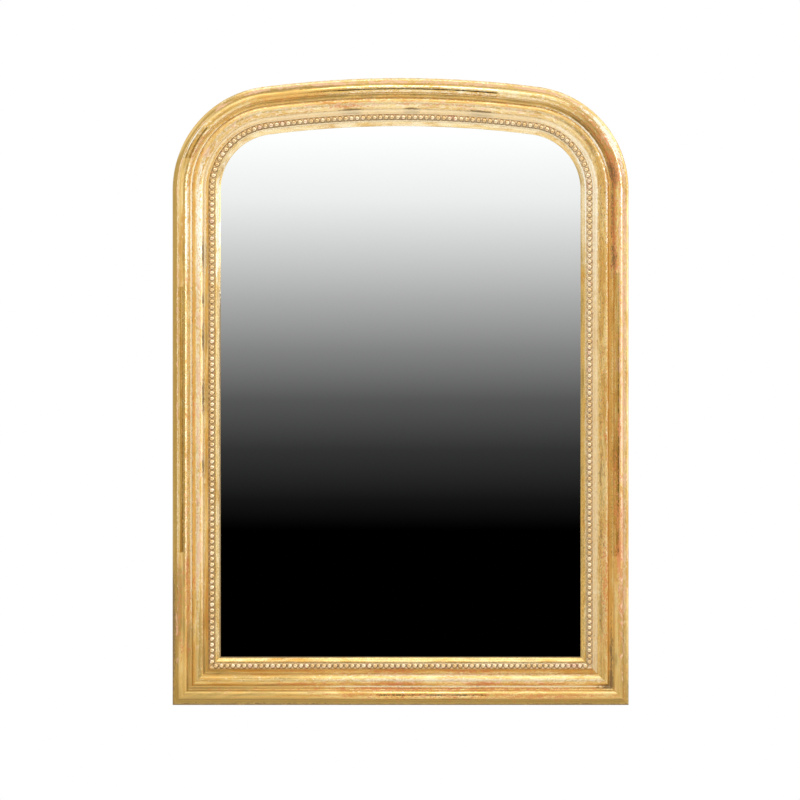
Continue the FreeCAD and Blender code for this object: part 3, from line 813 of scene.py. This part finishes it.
# Cast composition beads, gilded over a warm size: pale on top, brown with dirt and painted shade at
# their feet, most on the sides turned from the light
beadLook = {
    "bed": "#F0CE98",
    "fadedBed": "#FFE6BE",
    "fadeAcross": (-0.3, 0.3),  # from the left of the frame to the right, where the bed is painted lighter as if lit from the right
    "leaf": [(0.2, "#DDBB85"), (0.55, "#ECD2A6"), (0.9, "#F8E8C8")],
    "bole": "#CF8C66",
    "boleFrom": (0.75, 1),  # of the cloud
    "boleCover": 0.5,
    "cloud": 14 * mm,
    "grain": 1.4 * mm,
    "detail": 3,
    "beadFoot": (0.1 * mm, 0.5 * mm),  # above the bed, where a bead's own colour comes in
    "dirt": "#6B4E2A",
    "dirtTop": 4.2 * mm,  # how far dirt and painted shade climb from the bed
    "steep": (-0.95, -0.4),  # the normal's Y, from flat to steep
    # painted shade: more dark on the bead sides turned away from the light at the upper right
    "wipedSide": (0.4, 0, 0.8),
    "wiped": (0.5, -0.6),  # from facing the light at the upper right to facing away from it
    "wipedDirt": (0.5, 1.9),
    "ragged": 0.6,  # how much the grain breaks up the dirt and painted shade
    "dirtEdge": (0.15, 0.6),
    "dirtCover": (0, 0.9),
    "roughness": 0.24,
    "metal": 0.7,
    "bump": {"Strength": 0.5, "Distance": 0.1 * mm},
}


def giltComposition(add, look):
    coords = add("TexCoord").outputs["Object"]
    here = add("SeparateXYZ", {0: coords}).outputs
    facing = add("NewGeometry").outputs["Normal"]
    normal = add("SeparateXYZ", {0: facing}).outputs
    cloud = add("TexNoise", {"Vector": coords, "Scale": 1 / look["cloud"], "Detail": look["detail"]})
    grain = add("TexNoise", {"Vector": coords, "Scale": 1 / look["grain"], "Detail": look["detail"]})
    cloud = add("MapRange", {"Value": cloud, "From": gildedLook["usual"]})
    leaf = add("ValToRGB", {0: cloud}, look["leaf"])
    foot = [bedTop - height for height in look["beadFoot"]]
    raised = add("MapRange", {"Value": here["Y"], "From": foot})
    # painted light: the bed lightens toward the right of the frame, the side the light comes from
    rightwards = add("MapRange", {"Value": here["X"], "From": look["fadeAcross"]})
    bed = add("Mix", {"Factor": rightwards, mixA: look["bed"], mixB: look["fadedBed"]}, data_type="RGBA")
    colour = add("Mix", {"Factor": raised, mixA: bed, mixB: leaf}, data_type="RGBA")
    reddish = add("MapRange", {"Value": cloud, "From": look["boleFrom"], "To": (0, look["boleCover"])})
    colour = add("Mix", {"Factor": reddish, mixA: colour, mixB: look["bole"]}, data_type="RGBA")

    # Dirt and painted shade lie low on the beads' steep sides, darkest on the sides turned away from the
    # light at the upper right, and not on the flat bed
    low = add("MapRange", {"Value": here["Y"], "From": (bedTop - look["dirtTop"], bedTop)})
    steep = add("MapRange", {"Value": normal["Y"], "From": look["steep"]})
    dirt = add("Math", {0: low, 1: steep}, operation="MULTIPLY")
    awayFromLight = add("VectorMath", {0: facing, 1: look["wipedSide"]}, operation="DOT_PRODUCT")
    awayFromLight = add("MapRange", {"Value": awayFromLight, "From": look["wiped"], "To": look["wipedDirt"]})
    dirt = add("Math", {0: dirt, 1: awayFromLight}, operation="MULTIPLY")
    ragged = add("Math", {0: grain, 1: look["ragged"], 2: -look["ragged"] / 2}, operation="MULTIPLY_ADD")
    dirt = add("Math", {0: dirt, 1: ragged}, operation="ADD")
    dirt = add("MapRange", {"Value": dirt, "From": look["dirtEdge"], "To": look["dirtCover"]}, **softEnds)
    colour = add("Mix", {"Factor": dirt, mixA: colour, mixB: look["dirt"]}, data_type="RGBA")
    metal = add("MapRange", {"Value": dirt, "To": (look["metal"], 0)})
    bump = add("Bump", look["bump"] | {"Height": grain})
    return add("BsdfPrincipled", {
        "Base Color": colour, "Metallic": metal, "Roughness": look["roughness"], "Normal": bump,
    })


beadFinish = makeMaterial("giltComposition_beads", giltComposition, beadLook)
bead = beadMesh()
for length in lengths:
    makeBeadStrip(length, bead, beadFinish)
bpy.data.meshes.remove(bead)
print("bead border made")


# Silvered plate glass: a bright metal film seen through clear glass, backed with brown paint
plateLook = {
    "silver": "#F7F9F8",
    "cutEdge": "#7FA58E",
    "backPaint": "#4A3A30",
    "edgeRoughness": 0.5,
    "turned": 0.5,  # the normal's Y past which a side is the back, or the front below its minus
}


def silveredGlass(add, look):
    normal = add("NewGeometry").outputs["Normal"]
    facing = add("SeparateXYZ", {0: normal}).outputs["Y"]
    front = add("Math", {0: facing, 1: -look["turned"]}, operation="LESS_THAN")
    back = add("Math", {0: facing, 1: look["turned"]}, operation="GREATER_THAN")
    edge = add("Mix", {"Factor": back, mixA: look["cutEdge"], mixB: look["backPaint"]}, data_type="RGBA")
    colour = add("Mix", {"Factor": front, mixA: edge, mixB: look["silver"]}, data_type="RGBA")
    rough = add("MapRange", {"Value": front, "To": (look["edgeRoughness"], 0)})
    return add("BsdfPrincipled", {"Base Color": colour, "Metallic": front, "Roughness": rough})


paint(["mirror_plate"], makeMaterial("silveredGlass_plate", silveredGlass, plateLook))


# Old pine, sawn and left bare at the back: brown late wood lines, knots, stains and dust
pineLook = {
    "early": "#B58A5A",
    "late": "#84582F",
    "lateFrom": (0.35, 0.95),
    "stain": "#5A4028",
    "stainFrom": (0.46, 0.75),  # of the clouds
    "stainCover": 0.7,
    "wash": None,  # a yellow ochre wash on the sides, where the gilder left it
    "washedSides": (0.6, 0.4),  # the normal's Y, from the back to a side
    "washWorn": (0.72, 0.5),  # of the fibres
    "leastWash": 0.25,
    "seed": 0,
    "shift": (1, 0.3, 0),  # how the seed moves the pattern
    "ringWidth": 5 * mm,
    "bend": 15,  # rings by which the lines drift
    "knotBend": 5,
    "knotEdge": (0.28, 0),  # how near to a knot the lines bend round it
    "knotHeart": (0.1, 0.05),
    "waves": {  # how many to a metre, along and across the grain, and their detail
        "drift": ((1.2, 7, 7), 2),
        "fibres": ((28, 900, 900), 3),
    },
    "knots": (3.2, 5, 9),
    "clouds": {"Scale": 7, "Detail": 5, "Roughness": 0.6},
    "fibreDepth": 0.5,
    "roughness": 0.78,
    "bump": {"Strength": 0.5, "Distance": 0.4 * mm},
}


def oldPine(add, turn, look):
    look = pineLook | look
    coords = add("TexCoord").outputs["Object"]
    shift = [look["seed"] * share for share in look["shift"]]
    turned = add("Mapping", {"Vector": coords, "Rotation": (0, turn, 0), "Location": shift})
    parts = add("SeparateXYZ", {0: turned}).outputs
    waves = {}
    for kind, (scale, detail) in look["waves"].items():
        spread = add("Mapping", {"Vector": turned, "Scale": scale})
        waves[kind] = add("TexNoise", {"Vector": spread, "Scale": 1, "Detail": detail})
    spread = add("Mapping", {"Vector": turned, "Scale": look["knots"]})
    knots = add("TexVoronoi", {"Vector": spread, "Scale": 1})
    nearKnot = add("MapRange", {"Value": knots, "From": look["knotEdge"]}, **softEnds)
    rings = add("Math", {0: parts["Z"], 1: 1 / look["ringWidth"]}, operation="MULTIPLY")
    bent = add("Math", {0: waves["drift"], 1: look["bend"], 2: rings}, operation="MULTIPLY_ADD")
    bent = add("Math", {0: nearKnot, 1: look["knotBend"], 2: bent}, operation="MULTIPLY_ADD")
    lines = add("Math", {0: bent, 1: 1}, operation="PINGPONG")
    depth = look["fibreDepth"]
    grain = add("Math", {0: waves["fibres"], 1: depth, 2: -depth / 2}, operation="MULTIPLY_ADD")
    grain = add("Math", {0: lines, 1: grain}, operation="ADD")
    wood = add("ValToRGB", {0: grain}, zip(look["lateFrom"], (look["early"], look["late"])))
    knotty = add("MapRange", {"Value": knots, "From": look["knotHeart"]}, **softEnds)
    wood = add("Mix", {"Factor": knotty, mixA: wood, mixB: look["stain"]}, data_type="RGBA")
    cloud = add("TexNoise", look["clouds"] | {"Vector": coords})
    stained = add("MapRange", {"Value": cloud, "From": look["stainFrom"], "To": (0, look["stainCover"])})
    wood = add("Mix", {"Factor": stained, mixA: wood, mixB: look["stain"]}, data_type="RGBA")
    if look["wash"]:
        normal = add("NewGeometry").outputs["Normal"]
        facing = add("SeparateXYZ", {0: normal}).outputs["Y"]
        sideways = add("MapRange", {"Value": facing, "From": look["washedSides"]})
        worn = add("MapRange", {
            "Value": waves["fibres"], "From": look["washWorn"], "To": (look["leastWash"], 1),
        })
        cover = add("Math", {0: sideways, 1: worn}, operation="MULTIPLY")
        wood = add("Mix", {"Factor": cover, mixA: wood, mixB: look["wash"]}, data_type="RGBA")
    bump = add("Bump", look["bump"] | {"Height": grain})
    return add("BsdfPrincipled", {"Base Color": wood, "Roughness": look["roughness"], "Normal": bump})


upright = math.pi / 2
carcass = {  # how far each timber's grain is turned
    "left_stile": upright, "right_stile": upright, "bottom_rail": 0, "crown_rail": 0,
    "top_left_corner": -upright / 2, "top_right_corner": upright / 2,
}
stileSeed, boardSeed = 1.3, 2.1  # from one timber to the next
for number, (name, turn) in enumerate(carcass.items()):
    look = {"wash": "#B88E4A", "seed": number * stileSeed}
    paint([name], makeMaterial("washedPine_" + name, oldPine, turn, look))
for number in range(1, 6):
    look = {"early": "#A67C50", "late": "#775030", "seed": number * boardSeed, "ringWidth": 7 * mm}
    name = "backboard_" + str(number)
    paint([name], makeMaterial("sawnPine_" + name, oldPine, 0, look))
blockPine = makeMaterial("splitPine_blocks", oldPine, 0, {"early": "#B38A5D", "seed": 4.4})
paint([name for name in nodes if name.startswith("glass_blocks_")], blockPine)
keyLook = {"early": "#8A6238", "late": "#5B3B1F", "ringWidth": 3 * mm, "seed": 9, "roughness": 0.6}
keyOak = makeMaterial("planedOak_keys", oldPine, upright, keyLook)
paint([name for name in nodes if name.startswith("key_")], keyOak)
print("plate and woodwork finished")


# Worn metal, with one tone for what is handled and one for what dirt or rust has dulled
metalLook = {
    "cloudy": {"Detail": 5, "Roughness": 0.65},
    "grainy": {"Detail": 2},
    "bump": {"Strength": 0.4, "Distance": 0.08 * mm},
}


def oldMetal(add, look):
    look = metalLook | look
    coords = add("TexCoord").outputs["Object"]
    cloud = add("TexNoise", look["cloudy"] | {"Vector": coords, "Scale": 1 / look["patch"]})
    grain = add("TexNoise", look["grainy"] | {"Vector": coords, "Scale": 1 / look["grain"]})
    dull = add("MapRange", {"Value": cloud, "From": look["edge"]}, **softEnds)
    colour = add("Mix", {"Factor": dull, mixA: look["clean"], mixB: look["dull"]}, data_type="RGBA")
    rough = add("MapRange", {"Value": dull, "To": look["roughness"]})
    metal = add("MapRange", {"Value": dull, "To": (1, look["metal"])})
    bump = add("Bump", look["bump"] | {"Height": grain})
    return add("BsdfPrincipled", {
        "Base Color": colour, "Metallic": metal, "Roughness": rough, "Normal": bump,
    })


# Rolled and drawn brass, dull yellow with brown tarnish
brass = makeMaterial("dullBrass", oldMetal, {
    "clean": "#B79A5B", "dull": "#6E5430", "patch": 6 * mm, "grain": 0.5 * mm,
    "edge": (0.42, 0.62), "roughness": (0.32, 0.55), "metal": 0.7,
})
# Wood screws, dark oxide with a little bare steel
steel = makeMaterial("darkSteel", oldMetal, {
    "clean": "#8C8780", "dull": "#4C443D", "patch": 3 * mm, "grain": 0.4 * mm,
    "edge": (0.4, 0.56), "roughness": (0.38, 0.6), "metal": 0.6,
})
# Cut iron nails, brown with rust
iron = makeMaterial("rustyIron", oldMetal, {
    "clean": "#5A5048", "dull": "#5B3320", "patch": 2.2 * mm, "grain": 0.5 * mm,
    "edge": (0.35, 0.5), "roughness": (0.5, 0.85), "metal": 0.1,
})
for side in ("left", "right"):
    paint(["hanger_strap_" + side, "hanging_ring_" + side], brass)
    paint(["hanger_screws_" + side], steel)
paint(["backboard_nails"], iron)
print("hardware finished")


# The photographer's camera, a little below the middle, and the room that the mirror shows
studio = {
    "lens": 255,
    "camera": (-0.00105, -9.978, -0.0149),
    "floorTone": "#E6E6E6",
    "floorLift": 0.25,  # brings the floor that the camera sees to white
    "worldLight": 0.68,
    "sheets": {  # a corner, and the two sides from it
        "floor": ((-2.3, -2.3, -1.25), (4.6, 0, 0), (0, 4.6, 0)),
        "wall": ((-6.7, -3.1, -1.25), (13.4, 0, 0), (0, 0, 3.8)),
        "leftFlag": ((-3.4, -3.1, -1.25), (0, 2.3, 0), (0, 0, 3.65)),
        "rightFlag": ((3.4, -3.1, -1.25), (0, 1.2, 0), (0, 0, 3.65)),
    },
    "plateView": (0.62, 0.45),  # from outside to inside the part of the wall that the plate shows
    "plateTop": (0.8, 0.66),
    "wallFade": (-0.6185, 0.652),
    "wallShown": [
        (0.24, "#000000"), (0.294, "#141414"), (0.385, "#323232"), (0.475, "#555555"), (0.565, "#828282"),
        (0.656, "#AAAAAA"), (0.746, "#CDCDCD"), (0.837, "#EBEBEB"), (0.963, "#FFFFFF"),
    ],
    "wallSides": [(0.1, "#AA966C"), (0.45, "#CDBB98"), (0.8, "#E4D9C2"), (0.95, "#F4EEE2")],
    "wallGlow": 1.08,
    "flagTone": "#CDBD98",
    "lamps": {  # place, aim, width and height, power, whether gloss shows it
        "keyLamp": ((3.7, -1.1, 1.3), (0, 0, 0.1), (2.6, 3.2), 60, True),
        "topLamp": ((0, -2.0, 3.0), (0, 0, 0), (3.4, 1.6), 30, True),
        "fillLamp": ((-2.0, -3.2, 0.2), (0, 0, 0), (1.6, 2.2), 60, False),
    },
}


def makeSheet(name, corner, across, up, material):
    # A flat sheet, from a corner drawn out along two sides
    bm = bmesh.new()
    line = bmesh.ops.extrude_vert_indiv(bm, verts=[bm.verts.new(corner)])
    bmesh.ops.translate(bm, verts=line["verts"], vec=across)
    sheet = bmesh.ops.extrude_edge_only(bm, edges=line["edges"])["geom"]
    verts = [item for item in sheet if isinstance(item, bmesh.types.BMVert)]
    bmesh.ops.translate(bm, verts=verts, vec=up)
    mesh = takeMesh(bm, name)
    mesh.materials.append(material)
    piece = addObject(name, mesh)
    return piece


def seenDirectly(add):  # 1 for what the camera, gloss or glass shows
    rays = add("LightPath").outputs
    seen = add("Math", {0: rays["Is Camera Ray"], 1: rays["Is Glossy Ray"]}, operation="MAXIMUM")
    return add("Math", {0: seen, 1: rays["Is Transmission Ray"]}, operation="MAXIMUM")


def paleFloor(add):
    lift = add("Math", {0: seenDirectly(add), 1: studio["floorLift"]}, operation="MULTIPLY")
    plain = add("BsdfDiffuse", {"Color": studio["floorTone"]})
    glow = add("Emission", {"Strength": lift})
    return add("AddShader", {0: plain, 1: glow})


# The room behind the camera, which falls from white above to black below in the plate
def fadingWall(add):
    here = add("SeparateXYZ", {0: add("TexCoord").outputs["Object"]}).outputs
    height = add("MapRange", {"Value": here["Z"], "From": studio["wallFade"]})
    fall = add("ValToRGB", {0: height}, studio["wallShown"])
    aside = add("Math", {0: here["X"]}, operation="ABSOLUTE")
    middle = add("MapRange", {"Value": aside, "From": studio["plateView"]}, **softEnds)
    below = add("MapRange", {"Value": here["Z"], "From": studio["plateTop"]})
    middle = add("Math", {0: middle, 1: below}, operation="MULTIPLY")
    sides = add("ValToRGB", {0: height}, studio["wallSides"])
    colour = add("Mix", {"Factor": middle, mixA: sides, mixB: fall}, data_type="RGBA")
    return add("Emission", {"Color": colour, "Strength": studio["wallGlow"]})


# Glowing sheets on the left and right, in place of dark cloth flags, which only the gilding's gloss
# shows: their glow, greyer than the white world, darkens the reflections on the frame's sides
def clothFlag(add):
    return add("Emission", {"Color": studio["flagTone"], "Strength": 1})


def whiteWorld(add):
    level = add("MapRange", {"Value": seenDirectly(add), "To": (studio["worldLight"], 1)})
    return add("Background", {"Color": "#FFFFFF", "Strength": level})


def makeLamp(name, place, aim, size, power, inGloss):
    lamp = bpy.data.lights.new(name, "AREA")
    lamp.shape = "RECTANGLE"
    lamp.size, lamp.size_y = size
    lamp.energy = power
    holder = addObject(name, lamp)
    holder.location = place
    holder.rotation_euler = (Vector(aim) - Vector(place)).to_track_quat("-Z", "Y").to_euler()
    holder.visible_glossy = inGloss


camera = addObject("camera", bpy.data.cameras.new("camera"))
camera.data.lens = studio["lens"]
camera.location = studio["camera"]
camera.rotation_euler = (upright, 0, 0)
bpy.context.scene.camera = camera
glowingFlagFinish = makeMaterial("clothFlag", clothFlag)
finishes = {
    "floor": makeMaterial("paleFloor", paleFloor),
    "wall": makeMaterial("fadingWall", fadingWall),
    "leftFlag": glowingFlagFinish,
    "rightFlag": glowingFlagFinish,
}
for name, place in studio["sheets"].items():
    sheet = makeSheet(name, *place, finishes[name])
    if name != "floor":  # seen in gloss alone
        sheet.visible_camera = False
        sheet.visible_diffuse = False
        sheet.visible_shadow = False
for name, settings in studio["lamps"].items():
    makeLamp(name, *settings)
world = bpy.data.worlds.new("whiteWorld")
bpy.context.scene.world = setShader(world, "OutputWorld", whiteWorld)
bpy.context.scene.view_settings.view_transform = "Standard"
print("studio set")
